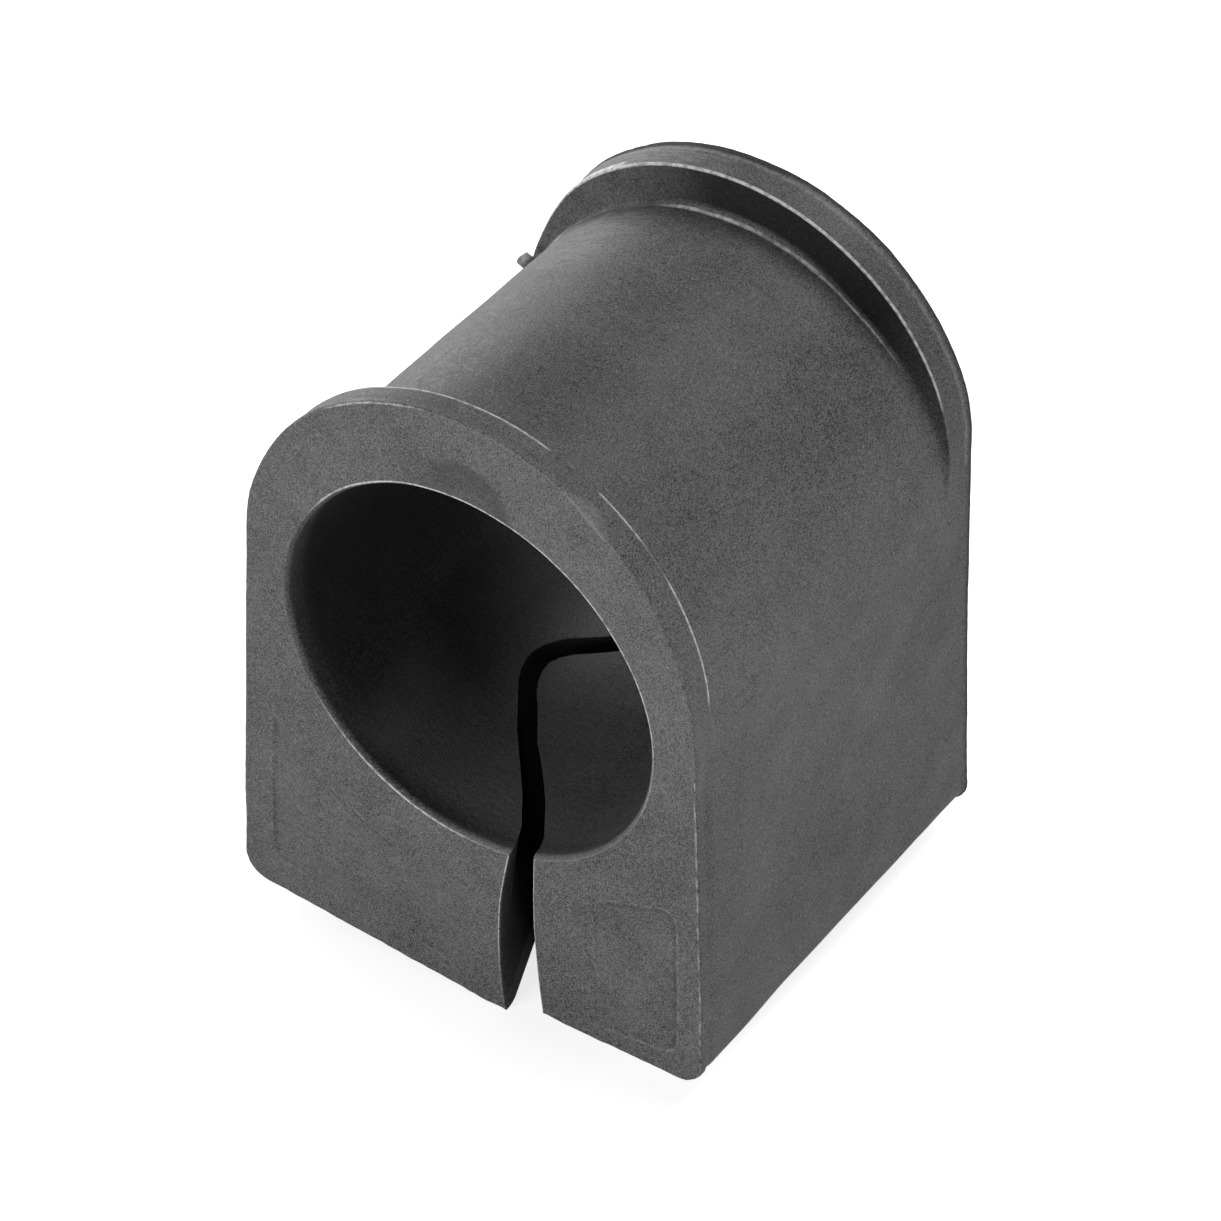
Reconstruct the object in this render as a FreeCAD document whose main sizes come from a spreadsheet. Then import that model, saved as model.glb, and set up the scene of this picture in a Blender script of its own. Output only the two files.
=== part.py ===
import FreeCAD, Part

import math
import os

import Sketcher

# Split bush for a stabiliser bar, moulded in one piece of black rubber. The bar runs along Y
# through the bore, +Z points to the crown of the saddle, and the origin is the middle of the bore.

SIZES = [
    ("bore_diameter", 45.0, "diameter of the bar that the bush grips"),
    ("wall", 5.0, "rubber between the bore and the saddle"),
    ("length", 53.4, "front face to rear face"),
    ("front_flange", 3.2, "thickness of the front flange along the bar"),
    ("rear_flange", 4.6, "thickness of the rear flange along the bar"),
    ("flange_raise", 5.4, "lift of the flange arch above the saddle arch"),
    ("leg_angle", 2.94, "degrees that each leg has sprung outward"),
    ("left_leg", 45.5, "bore axis to the sole of the left leg, square to the sole"),
    ("right_leg", 43.9, "bore axis to the sole of the right leg, square to the sole"),
    ("heel_radius", 3.0, "rounding between each side and its sole"),
    ("channel_radius", 1.0, "rounding where the saddle meets a flange"),
    ("front_rim_radius", 0.3, "rounding of the outer rim of the front face"),
    ("rear_rim_radius", 0.5, "rounding of the outer rim of the rear face"),
    ("mouth_chamfer", 0.4, "bevel of the two mouths of the bore"),
    ("slit_crest_top", 7.4, "bore axis to the middle of the slit in the front face, at the top of its cut"),
    ("slit_crest_middle", 6.4, "bore axis to the middle of the slit in the front face, halfway down"),
    ("slit_crest_sole", 7.8, "bore axis to the middle of the slit in the front face, at the soles"),
    ("slit_pitch", 50.8, "crest to crest of the slit's wave, from the front face"),
    ("slit_radius", 7.5, "radius of the waves of the slit, seen from above"),
    ("slit_swing_top", 16.6, "sideways swing of the slit at the top of its cut, inside the bore"),
    ("slit_swing_middle", 12.3, "sideways swing of the slit halfway down"),
    ("slit_swing_sole", 8.0, "sideways swing of the slit at the soles"),
    ("slit_gap_top", 2.1, "width of the slit at the top of its cut, inside the bore"),
    ("slit_gap_middle", 4.4, "width of the slit halfway down"),
    ("slit_gap_sole", 5.1, "width of the slit at the soles"),
    ("gate_length", 2.0, "moulding gate on the saddle: size along the bar"),
    ("gate_width", 1.1, "moulding gate: size across the bar"),
    ("gate_height", 1.2, "moulding gate: how far it stands off the saddle"),
    ("gate_angle", 62.0, "degrees from the crown down the left side to the gate"),
    ("gate_inset", 1.8, "rear flange to the gate"),
]

# What the cutting tools reach past the rubber, and what the gate is rooted in it.
BEYOND = 2.0
ROOT = 1.0

SADDLE = "(Sizes.bore_diameter / 2 + Sizes.wall)"
HALF = "(Sizes.length / 2)"
SLIT_TOP = "(Sizes.bore_diameter / 2 - Sizes.wall)"
SLIT_END = "(Sizes.left_leg + %g)" % BEYOND
LEG = "(Sizes.leg_angle * 1deg)"

Vector = FreeCAD.Vector

doc = FreeCAD.newDocument("bushing")

sheet = doc.addObject("Spreadsheet::Sheet", "Sizes")
for row, (name, value, note) in enumerate(SIZES, start=1):
    sheet.set("A%d" % row, name)
    sheet.set("B%d" % row, str(value))
    sheet.set("C%d" % row, note)
    sheet.setAlias("B%d" % row, name)
doc.recompute()

body = doc.addObject("PartDesign::Body", "Bushing")
body.Label = "bushing"
body.Placement = FreeCAD.Placement()

half = sheet.length / 2
bore = sheet.bore_diameter / 2
saddle = bore + sheet.wall
lean = math.radians(sheet.leg_angle)


def turned(across, up, angle):
    """A point of a section, turned about the bore axis, anticlockwise seen from the front."""
    c, s = math.cos(angle), math.sin(angle)
    return Vector(across * c - up * s, across * s + up * c, 0)


def new_sketch(name, role):
    """A sketch on one of the body's own origin planes."""
    sketch = body.newObject("Sketcher::SketchObject", name)
    plane = [item for item in body.Origin.OriginFeatures if item.Role == role][0]
    sketch.AttachmentSupport = [(plane, "")]
    sketch.MapMode = "FlatFace"
    return sketch


def bind(sketch, kind, where, value, formula):
    """A dimension of a sketch that follows a formula in the sizes of the sheet."""
    index = sketch.addConstraint(Sketcher.Constraint(kind, *where, value))
    sketch.setExpression("Constraints[%d]" % index, formula)


def hold(sketch, part, point, across, up):
    """Holds a point of a sketch at two distances, given as formulas, from the sketch's origin."""
    spot = sketch.getPoint(part, point)
    for kind, formula, value in (("DistanceX", across, spot.x), ("DistanceY", up, spot.y)):
        if formula is None:
            continue
        if value < 0:
            bind(sketch, kind, (part, point, -1, 1), -value, "-(%s)" % formula)
        else:
            bind(sketch, kind, (-1, 1, part, point), value, formula)


def line(sketch, start, end):
    return sketch.addGeometry(Part.LineSegment(start, end), False)


def arc(sketch, centre, radius, first, last):
    circle = Part.Circle(centre, Vector(0, 0, 1), radius)
    return sketch.addGeometry(Part.ArcOfCircle(circle, first, last), False)


def join(sketch, kind, *ends):
    sketch.addConstraint(Sketcher.Constraint(kind, *ends))


def feature(kind, name, profile, **settings):
    """A solid feature on a sketch. Settings that are text are formulas in the sizes."""
    made = body.newObject("PartDesign::" + kind, name)
    made.Profile = profile
    for key, setting in settings.items():
        if key in ("Length", "Angle"):
            made.setExpression(key, setting)
        else:
            setattr(made, key, setting)
    doc.recompute()
    return made


def edges_where(made, test):
    """Names of the edges of a feature that pass a test of their end points and middle."""
    names = []
    for number, edge in enumerate(made.Shape.Edges, start=1):
        middle = edge.valueAt((edge.FirstParameter + edge.LastParameter) / 2)
        spots = [vertex.Point for vertex in edge.Vertexes] + [middle]
        if all(test(spot) for spot in spots):
            names.append("Edge%d" % number)
    return names


def round_edges(name, base, names, radius):
    made = body.newObject("PartDesign::Fillet", name)
    made.Base = (base, names)
    made.setExpression("Radius", "Sizes." + radius)
    doc.recompute()
    return made


def block():
    """Flange section drawn out to the full length: arch, leaning sides and the left sole's plane."""
    sketch = new_sketch("FlangeSection", "XZ_Plane")
    arch_radius = saddle - sheet.flange_raise * math.sin(lean)
    arch_centre = Vector(0, sheet.flange_raise, 0)
    right_foot = turned(saddle, -sheet.right_leg, lean)
    left_foot = turned(-saddle, -sheet.left_leg, -lean)
    right_foot = right_foot + turned(0, -BEYOND, lean)

    arch = arc(sketch, arch_centre, arch_radius, lean, math.pi - lean)
    right = line(sketch, sketch.getPoint(arch, 1), right_foot)
    sole = line(sketch, right_foot, left_foot)
    left = line(sketch, left_foot, sketch.getPoint(arch, 2))

    join(sketch, "Tangent", arch, 1, right, 1)
    join(sketch, "Coincident", right, 2, sole, 1)
    join(sketch, "Coincident", sole, 2, left, 1)
    join(sketch, "Tangent", left, 2, arch, 2)
    join(sketch, "PointOnObject", arch, 3, -2)
    join(sketch, "Horizontal", arch, 1, arch, 2)
    join(sketch, "Perpendicular", sole, left)
    reach = "(%s - Sizes.flange_raise * sin(%s))" % (SADDLE, LEG)
    hold(sketch, arch, 3, None, "Sizes.flange_raise")
    hold(sketch, arch, 1, "%s * cos(%s)" % (reach, LEG), "Sizes.flange_raise + %s * sin(%s)" % (reach, LEG))
    bind(sketch, "Distance", (-1, 1, sole), sheet.left_leg, "Sizes.left_leg")
    return feature("Pad", "Block", sketch, SideType="Symmetric", Length="Sizes.length")


def channel():
    """Seat of the bracket: turned down to the saddle between the flanges, with rounded corners."""
    sketch = new_sketch("ChannelSection", "YZ_Plane")
    front = -half + sheet.front_flange
    rear = half - sheet.rear_flange
    top = saddle + sheet.flange_raise + BEYOND
    radius = sheet.channel_radius

    floor = line(sketch, Vector(front + radius, saddle, 0), Vector(rear - radius, saddle, 0))
    rear_corner = arc(sketch, Vector(rear - radius, saddle + radius, 0), radius, -math.pi / 2, 0)
    rear_wall = line(sketch, Vector(rear, saddle + radius, 0), Vector(rear, top, 0))
    roof = line(sketch, Vector(rear, top, 0), Vector(front, top, 0))
    front_wall = line(sketch, Vector(front, top, 0), Vector(front, saddle + radius, 0))
    front_corner = arc(sketch, Vector(front + radius, saddle + radius, 0), radius, math.pi, 3 * math.pi / 2)

    join(sketch, "Tangent", floor, 2, rear_corner, 1)
    join(sketch, "Tangent", rear_corner, 2, rear_wall, 1)
    join(sketch, "Coincident", rear_wall, 2, roof, 1)
    join(sketch, "Coincident", roof, 2, front_wall, 1)
    join(sketch, "Tangent", front_wall, 2, front_corner, 1)
    join(sketch, "Tangent", front_corner, 2, floor, 1)
    join(sketch, "Horizontal", floor)
    join(sketch, "Horizontal", roof)
    join(sketch, "Vertical", rear_wall)
    join(sketch, "Vertical", front_wall)
    join(sketch, "Equal", rear_corner, front_corner)
    bind(sketch, "Radius", (rear_corner,), radius, "Sizes.channel_radius")
    hold(sketch, rear_corner, 1, None, SADDLE)
    hold(sketch, roof, 1, "%s - Sizes.rear_flange" % HALF, "%s + Sizes.flange_raise + %g" % (SADDLE, BEYOND))
    hold(sketch, roof, 2, "-(%s) + Sizes.front_flange" % HALF, None)
    return feature("Groove", "Channel", sketch, ReferenceAxis=(sketch, ["H_Axis"]), Midplane=True,
                   Angle="180deg - 2 * %s" % LEG)


def bore_hole():
    sketch = new_sketch("BoreCircle", "XZ_Plane")
    round_hole = sketch.addGeometry(Part.Circle(Vector(), Vector(0, 0, 1), bore), False)
    join(sketch, "Coincident", round_hole, 3, -1, 1)
    bind(sketch, "Diameter", (round_hole,), 2 * bore, "Sizes.bore_diameter")
    return feature("Pocket", "Bore", sketch, Type="ThroughAll", SideType="Symmetric")


def wave_edge(sketch, where, crest, crest_formula):
    """One wavy edge from front to rear: a crest at the front face, a trough and a second crest."""
    swing = getattr(sheet, "slit_swing_" + where)
    radius = sheet.slit_radius
    drift = swing - 2 * radius
    step = sheet.slit_pitch / 2
    turn = math.atan2(drift, step) + math.asin(2 * radius / math.hypot(drift, step))
    end = half + BEYOND

    front_crest = arc(sketch, Vector(crest - radius, -half, 0), radius, 0, turn)
    trough_centre = Vector(crest - swing + radius, step - half, 0)
    trough = arc(sketch, trough_centre, radius, math.pi - turn, math.pi + turn)
    rear_crest = arc(sketch, Vector(crest - radius, 2 * step - half, 0), radius, -turn, 0)
    front_run = line(sketch, Vector(crest, -end, 0), Vector(crest, -half, 0))
    front_flank = line(sketch, sketch.getPoint(front_crest, 2), sketch.getPoint(trough, 2))
    rear_flank = line(sketch, sketch.getPoint(trough, 1), sketch.getPoint(rear_crest, 1))
    rear_run = line(sketch, Vector(crest, 2 * step - half, 0), Vector(crest, end, 0))

    join(sketch, "Tangent", front_run, 2, front_crest, 1)
    join(sketch, "Tangent", front_crest, 2, front_flank, 1)
    join(sketch, "Tangent", front_flank, 2, trough, 2)
    join(sketch, "Tangent", trough, 1, rear_flank, 1)
    join(sketch, "Tangent", rear_flank, 2, rear_crest, 1)
    join(sketch, "Tangent", rear_crest, 2, rear_run, 1)
    join(sketch, "Vertical", front_run)
    join(sketch, "Vertical", rear_run)
    for bend in (front_crest, trough, rear_crest):
        bind(sketch, "Radius", (bend,), radius, "Sizes.slit_radius")
    crest_centre = "%s - Sizes.slit_radius" % crest_formula
    trough_across = "%s - Sizes.slit_swing_%s + Sizes.slit_radius" % (crest_formula, where)
    hold(sketch, front_crest, 3, crest_centre, "-%s" % HALF)
    hold(sketch, trough, 3, trough_across, "Sizes.slit_pitch / 2 - %s" % HALF)
    hold(sketch, rear_crest, 3, crest_centre, "Sizes.slit_pitch - %s" % HALF)
    hold(sketch, front_run, 1, None, "-(%s + %g)" % (HALF, BEYOND))
    hold(sketch, rear_run, 2, None, "%s + %g" % (HALF, BEYOND))
    return front_run, rear_run


def cap(sketch, first, first_end, second, second_end):
    """Closes two open ends of an outline with a straight line."""
    made = line(sketch, sketch.getPoint(first, first_end), sketch.getPoint(second, second_end))
    join(sketch, "Coincident", made, 1, first, first_end)
    join(sketch, "Coincident", made, 2, second, second_end)
    return made


def slit_outline(where, depth):
    """Plan of the slit at one level: two wavy edges, a gap apart."""
    sketch = new_sketch("Slit" + where.capitalize(), "XY_Plane")
    sketch.setExpression(".AttachmentOffset.Base.z", "-(%s)" % depth)
    crest, gap = getattr(sheet, "slit_crest_" + where), getattr(sheet, "slit_gap_" + where)
    formula = "(Sizes.slit_crest_%s %s Sizes.slit_gap_%s / 2)"
    left_front, left_rear = wave_edge(sketch, where, crest - gap / 2, formula % (where, "-", where))
    right_front, right_rear = wave_edge(sketch, where, crest + gap / 2, formula % (where, "+", where))
    cap(sketch, left_front, 1, right_front, 1)
    cap(sketch, left_rear, 2, right_rear, 2)
    return sketch


def slit():
    """Wavy split from the bore down through the base, wider and straighter towards the soles."""
    top = slit_outline("top", SLIT_TOP)
    lower = [slit_outline("middle", "(%s + %s) / 2" % (SLIT_TOP, SLIT_END)), slit_outline("sole", SLIT_END)]
    return feature("SubtractiveLoft", "Slit", top, Sections=lower)


def right_sole():
    """Shortens the right leg: cuts below its own sole plane, from the slit to the right side."""
    sketch = new_sketch("RightSole", "XY_Plane")
    axis = Vector(0, -1, 0)
    sketch.AttachmentOffset = FreeCAD.Placement(Vector(), FreeCAD.Rotation(axis, sheet.leg_angle))
    sketch.setExpression(".AttachmentOffset.Base.x", "Sizes.right_leg * sin(%s)" % LEG)
    sketch.setExpression(".AttachmentOffset.Base.z", "-(Sizes.right_leg * cos(%s))" % LEG)
    sketch.setExpression(".AttachmentOffset.Rotation.Angle", LEG)
    crest = sheet.slit_crest_sole - sheet.right_leg * math.sin(lean)
    crest_formula = "(Sizes.slit_crest_sole - Sizes.right_leg * sin(%s))" % LEG
    front, rear = wave_edge(sketch, "sole", crest, crest_formula)
    far_front = Vector(saddle + BEYOND, -half - BEYOND, 0)
    far_rear = Vector(saddle + BEYOND, half + BEYOND, 0)
    outside = line(sketch, far_front, far_rear)
    join(sketch, "Vertical", outside)
    hold(sketch, outside, 1, "%s + %g" % (SADDLE, BEYOND), "-(%s + %g)" % (HALF, BEYOND))
    hold(sketch, outside, 2, None, "%s + %g" % (HALF, BEYOND))
    cap(sketch, front, 1, outside, 1)
    cap(sketch, rear, 2, outside, 2)
    return feature("Pocket", "RightSoleCut", sketch, Type="ThroughAll")


def gate():
    """Stub of the moulding gate, standing off the left shoulder of the saddle."""
    sketch = new_sketch("GateSection", "XZ_Plane")
    turn = FreeCAD.Rotation(Vector(0, 0, 1), sheet.gate_angle)
    sketch.AttachmentOffset = FreeCAD.Placement(Vector(), turn)
    sketch.setExpression(".AttachmentOffset.Rotation.Angle", "Sizes.gate_angle * 1deg")
    sketch.setExpression(".AttachmentOffset.Base.z",
                         "-(%s - Sizes.rear_flange - Sizes.gate_inset - Sizes.gate_length)" % HALF)
    side = sheet.gate_width / 2
    low, high = saddle - ROOT, saddle + sheet.gate_height
    corners = [Vector(x, y, 0) for x, y in ((-side, low), (side, low), (side, high), (-side, high))]
    walls = [line(sketch, corners[i], corners[(i + 1) % 4]) for i in range(4)]
    for i in range(4):
        join(sketch, "Coincident", walls[i], 2, walls[(i + 1) % 4], 1)
        join(sketch, "Horizontal" if i % 2 == 0 else "Vertical", walls[i])
    hold(sketch, walls[0], 1, "-(Sizes.gate_width / 2)", "%s - %g" % (SADDLE, ROOT))
    hold(sketch, walls[2], 1, "Sizes.gate_width / 2", "%s + Sizes.gate_height" % SADDLE)
    return feature("Pad", "Gate", sketch, Reversed=True, Length="Sizes.gate_length")


solid = block()
channel()
solid = bore_hole()
mouths = edges_where(solid, lambda p: abs(math.hypot(p.x, p.z) - bore) < 0.01 and abs(abs(p.y) - half) < 0.01)
bevel = body.newObject("PartDesign::Chamfer", "Mouths")
bevel.Base = (solid, mouths)
bevel.setExpression("Size", "Sizes.mouth_chamfer")
doc.recompute()
slit()
solid = right_sole()
heels = edges_where(solid, lambda p: abs(p.x) > saddle and p.z < -bore)
heels = [name for name in heels if solid.Shape.getElement(name).Length > half]
solid = round_edges("Heels", solid, heels, "heel_radius")
for end, face, radius in (("Front", -half, "front_rim_radius"), ("Rear", half, "rear_rim_radius")):
    rim = edges_where(solid, lambda p: abs(p.y - face) < 0.01 and math.hypot(p.x, p.z) > saddle)
    solid = round_edges(end + "Rim", solid, rim, radius)
gate()

doc.recompute()
for item in doc.Objects:
    if "Invalid" in item.State or "Error" in item.State:
        raise RuntimeError("%s failed" % item.Name)
shape = body.Shape
if shape.isNull() or not shape.isValid() or len(shape.Solids) != 1:
    raise RuntimeError("the bushing is not one valid solid")

os.makedirs("parts", exist_ok=True)
shape.exportStep("parts/%s.step" % body.Label)
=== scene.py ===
import math

import bmesh
import bpy
import numpy as np
from mathutils import Matrix, Vector


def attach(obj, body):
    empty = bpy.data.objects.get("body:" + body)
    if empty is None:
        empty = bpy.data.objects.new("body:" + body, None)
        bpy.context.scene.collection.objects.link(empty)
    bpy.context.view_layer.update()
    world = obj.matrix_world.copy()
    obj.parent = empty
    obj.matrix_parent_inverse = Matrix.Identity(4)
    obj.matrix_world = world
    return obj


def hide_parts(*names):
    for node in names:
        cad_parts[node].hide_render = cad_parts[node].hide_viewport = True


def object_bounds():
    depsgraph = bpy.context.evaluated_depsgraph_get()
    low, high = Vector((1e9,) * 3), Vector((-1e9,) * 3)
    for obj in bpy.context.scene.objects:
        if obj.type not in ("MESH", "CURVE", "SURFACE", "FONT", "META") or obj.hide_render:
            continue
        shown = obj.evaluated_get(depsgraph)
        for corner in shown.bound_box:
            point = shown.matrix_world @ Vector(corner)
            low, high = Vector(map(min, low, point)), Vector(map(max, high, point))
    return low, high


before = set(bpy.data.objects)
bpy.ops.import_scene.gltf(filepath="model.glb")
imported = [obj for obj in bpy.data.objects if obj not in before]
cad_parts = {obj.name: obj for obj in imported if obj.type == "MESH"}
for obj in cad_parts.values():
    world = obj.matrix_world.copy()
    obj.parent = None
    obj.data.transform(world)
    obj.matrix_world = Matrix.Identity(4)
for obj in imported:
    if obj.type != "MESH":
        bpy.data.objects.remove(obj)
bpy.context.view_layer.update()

# Lengths of the bush are in millimetres. Plain angles are in degrees, and those made by
# math.radians or an arc function are in radians. x runs to the shorter leg, y from the front
# face to the rear one, and z up from the bore's axis. Where a mark lies was read from the photo.
MM = 0.001
SEED = 20

# sizes of the bush, the same as the solid's
BORE_R = 22.5
SADDLE_R = 27.5
FLANGE_RAISE = 5.4
LEAN = math.radians(2.94)
LEAN_COS, LEAN_SIN = math.cos(LEAN), math.sin(LEAN)
FLANGE_R = SADDLE_R - FLANGE_RAISE * LEAN_SIN
HALF = 26.7
FRONT_FLANGE, REAR_FLANGE = 3.2, 4.6
FRONT_WALL, REAR_WALL = FRONT_FLANGE - HALF, HALF - REAR_FLANGE
LEFT_LEG, RIGHT_LEG = 45.5, 43.9
HEEL_R = 3.0
CORNER_R = 1.0
CREST_R, CREST_WHOLE_FROM = 0.2, 0.6
FRONT_RIM, REAR_RIM = 0.3, 0.5

# the slit: x of its front crest, its swing to the left and its gap at three depths
SLIT_CREST = (7.4, 6.4, 7.8)
SLIT_SWING = (16.6, 12.3, 8.0)
SLIT_GAP = (2.1, 4.4, 5.1)
SLIT_TOP, SLIT_DEEP = -17.5, -47.5
SLIT_HALF_PITCH = 25.4
SLIT_BEND = 7.5
# how far the cut's left and right walls stray from it at the bore, by the way from the front face
STRAYS = (
    (0.0, 0.2, 0.1), (2.5, -0.2, 0.0), (4.1, 0.0, -0.1), (8.5, 0.35, 0.3), (12.5, 0.15, 0.05),
    (16.0, -0.1, -0.5), (20.0, 0.3, -0.15), (22.5, 0.5, -0.2), (26.0, 0.5, -0.42),
    (29.2, 0.45, -0.1), (30.5, 0.1, 0.0), (33.5, 0.2, 0.1), (40.0, 0.0, 0.0),
)
STRAY_FADE = (-31.0, -23.0)

# forms too small for the solid
FACE_ROUND, FACE_ROUND_DEPTH = 0.12, 0.3
MOUTH_BEVEL, MOUTH_BEVEL_DEPTH, MOUTH_BEVEL_CURVE = 0.42, 0.55, 1.6
PANEL_DEPTH, PANEL_FAR = 0.22, 3
LIP_SOLE, LIP_HEEL, LIP_SIDE, LIP_ARCH = 0.2, 0.36, 0.1, 0.12
LIP_RIPPLE, RIPPLE_LENGTH = 0.12, 1.1
WOBBLE, WOBBLE_LENGTH = 0.02, 7.0

# rows of the mesh: ways from the faces, the flanges' walls and their corners with the saddle
FRONT_ROWS = (0.0, 0.04, 0.12, 0.3, 0.55, 0.8, 1.05, 1.3, 1.6, 2.2, 2.7, 2.88)
REAR_ROWS = (4.28, 4.0, 3.7, 3.2, 2.5, 1.9, 1.5, 1.2, 0.95, 0.7, 0.5, 0.3, 0.12, 0.04, 0.0)
CREST_ROWS = ((CREST_R, 0.0), (CREST_R * 0.6, 0.08), (CREST_R * 0.2, 0.4))
WALL_ROWS = (0.0, 0.05, 0.35, 0.67, 1.0)
FRONT_CORNER_ROWS = (0.06, 0.2, 0.42, 0.7, 1.0)
REAR_CORNER_ROWS = (1.0, 0.85, 0.7, 0.56, 0.42, 0.3, 0.2, 0.12, 0.06)
BEFORE_CORNER_ROWS = (2.1, 1.8, 1.6, 1.45, 1.3, 1.15)
FLOOR_ROWS = 31
# columns of the mesh along the outline, from the left foot over the crown to the right foot
SOLE_L, HEEL, SIDE, ARCH, SOLE_R = 44, 8, 52, 110, 36
SLIT_WALL_DEPTH, SLIT_BLEND = 23.0, 9.0
WELD_DECIMALS = 4
SHARP_FROM = math.radians(38)

# painted highlight on the bore's rim by the angle round the bore, in degrees from +x toward +z
RIM_HIGHLIGHT = (
    (0, 0.5), (20, 0.8), (35, 0.75), (60, 1.0), (120, 0.95), (140, 0.7), (152, 0.1), (205, 0.1),
    (222, 0.5), (240, 0.9), (262, 0.8), (275, 0.35), (300, 0.25), (335, 0.2), (345, 0.45),
    (360, 0.5),
)
# the bore's wall by that angle: painted shade at the left and deep inside, painted light at the
# bottom
BORE_PAINTED_SHADE = ((60, 0.0), (150, 0.92), (180, 0.92), (192, 0.82), (206, 0.64), (222, 0.3), (230, 0.0))
BORE_DEEP_PAINTED_SHADE = ((195, 0.0), (215, 0.62), (236, 0.6), (255, 0.0))
BORE_PAINTED_LIGHT = ((218, 0.0), (234, 1.0), (261, 1.0), (281, 0.75), (294, 0.4), (330, 0.3), (350, 0.0))
# painted highlight along the slit's edges at the bore
SLIT_EDGE_HIGHLIGHT = 0.4
# the painted highlight line in the saddle's rear corner: angle, its way from the flange's wall, its
# strength
CORNER_LINE = (
    (38, 0.66, 0.0), (44, 0.66, 0.5), (52, 0.7, 1.1), (56, 0.73, 1.0), (60, 0.7, 0.8),
    (65, 0.56, 0.75), (70, 0.5, 1.15), (75, 0.45, 1.25), (80, 0.44, 1.0), (85, 0.4, 0.8),
    (90, 0.43, 1.5), (95, 0.46, 1.5), (100, 0.43, 1.25), (104, 0.47, 1.0), (109, 0.6, 0.4),
    (113, 0.6, 0.0), (136, 0.5, 0.0), (143, 0.6, 0.8), (153, 0.6, 0.8), (158, 0.6, 0.0),
)
# painted shade on the inner wall of the rear flange, where the saddle shades it
PAINTED_WALL_SHADE = (
    (14, 0.0), (34, 0.45), (52, 1.0), (96, 1.0), (104, 0.68), (118, 0.36), (138, 0.28), (160, 0.22),
)

# stub of the moulding gate: its place on the saddle, its half sizes and tilt, the height and
# share of size of its rings, how square and how ragged they are, and from where it is paler: wear
# and painted light
GATE_ANGLE, GATE_Y = math.radians(152), 19.4
GATE_ACROSS, GATE_ALONG, GATE_TILT = 0.55, 0.85, 0.1
GATE_RINGS = ((-0.6, 1.05), (0.15, 1.0), (0.8, 0.97), (1.22, 0.96), (1.28, 0.91))
GATE_SIDES, GATE_SQUARE, GATE_RAGGED = 12, 0.95, 0.02
GATE_TORN_FROM, GATE_TORN = 0.9, 0.04
GATE_LIGHTENED_FROM, GATE_WEAR_AND_LIGHT = 0.3, 0.6

# camera, in metres and degrees: where it stands, its azimuth, its way down and its roll
CAMERA_AT = (0.21018, -0.31487, 0.32161)
CAMERA_TURN = (33.7538, 41.2545, 0.9477)
FOCAL_PIXELS, PHOTO_PIXELS, SENSOR_MM = 4742.40, 1221, 36.0
CLIP = (0.05, 20.0)
# lamps, in metres and watts: name, place, width, height, power
LAMPS = (
    ("front_low", (-0.31, -1.24, 0.18), 0.9, 0.45, 11.6),
    ("top_back", (0.12, 0.48, 1.2), 0.9, 0.9, 10.3),
    ("right_low", (1.25, 0.25, 0.17), 0.9, 0.5, 5.5),
    ("left_back_low", (-1.19, 0.44, 0.22), 0.9, 0.54, 9.9),
)
FLOOR_REACH, FLOOR_TONE, FLOOR_GLOW = 6.0, 0.9, 0.78
AMBIENT, BACKDROP = 0.02, 1.0


def ramp(value, low, high):
    """A smooth step from 0 at low to 1 at high."""
    t = np.clip((value - low) / (high - low), 0.0, 1.0)
    return t * t * (3 - 2 * t)


def bump(value, low, high, soft):
    """1 between low and high, with soft ends outside them."""
    return ramp(value, low - soft, low) * (1 - ramp(value, high, high + soft))


def bell(value, middle, width):
    """1 at the middle, less to both sides of it."""
    return np.exp(-(((value - middle) / width) ** 2))


def look_up(table, at, column=1):
    """A table's column at a place between its rows, whose places are in column 0."""
    rows = np.array(table)
    return np.interp(at, rows[:, 0], rows[:, column])


def between(start, end, shares):
    """Points on the straight line from start to end."""
    w = shares[:, None]
    return start * (1 - w) + end * w


def at_row(x, y, z):
    """Points of one row, all at the same y."""
    return np.column_stack([x, np.full(len(x), y), z])


class Noise:
    """Smooth seeded noise over points in space: a sum of plane waves about one wavelength."""

    def __init__(self, seed, length, count=24):
        random = np.random.default_rng(seed)
        way = random.normal(size=(count, 3))
        way /= np.linalg.norm(way, axis=1)[:, None]
        self.waves = way * (2 * np.pi / (length * random.uniform(0.7, 1.6, count)))[:, None]
        self.phase = random.uniform(0, 2 * np.pi, count)

    def __call__(self, points):
        total = 0
        for wave, phase in zip(self.waves, self.phase):
            total = total + np.sin(points @ wave + phase)
        return total / math.sqrt(len(self.phase) / 2)


def by_depth(values, z):
    """A slit size at height z, from its values at the top, the middle and the soles."""
    t = (z - SLIT_TOP) / (SLIT_DEEP - SLIT_TOP)
    top, middle, sole = values
    return top * (1 - t) * (1 - 2 * t) + 4 * middle * t * (1 - t) + sole * t * (2 * t - 1)


def slit_middle(y, z):
    """x of the slit's middle line: a crest at the front, a trough, and a crest near the rear."""
    crest, swing = by_depth(SLIT_CREST, z), by_depth(SLIT_SWING, z)
    s = y + HALF
    s = np.where(s <= SLIT_HALF_PITCH, s, np.maximum(2 * SLIT_HALF_PITCH - s, 0.0))
    r, h = SLIT_BEND, SLIT_HALF_PITCH
    drift = swing - 2 * r
    turn = np.arctan2(drift, h) + np.arcsin(2 * r / np.hypot(drift, h))
    bend = r * np.sin(turn)
    near_crest = crest - r + np.sqrt(np.maximum(r**2 - s**2, 0))
    near_trough = crest - swing + r - np.sqrt(np.maximum(r**2 - (h - s) ** 2, 0))
    flank = crest - r + r * np.cos(turn) - (s - bend) * np.tan(turn)
    return np.where(s < bend, near_crest, np.where(s > h - bend, near_trough, flank))


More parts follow.
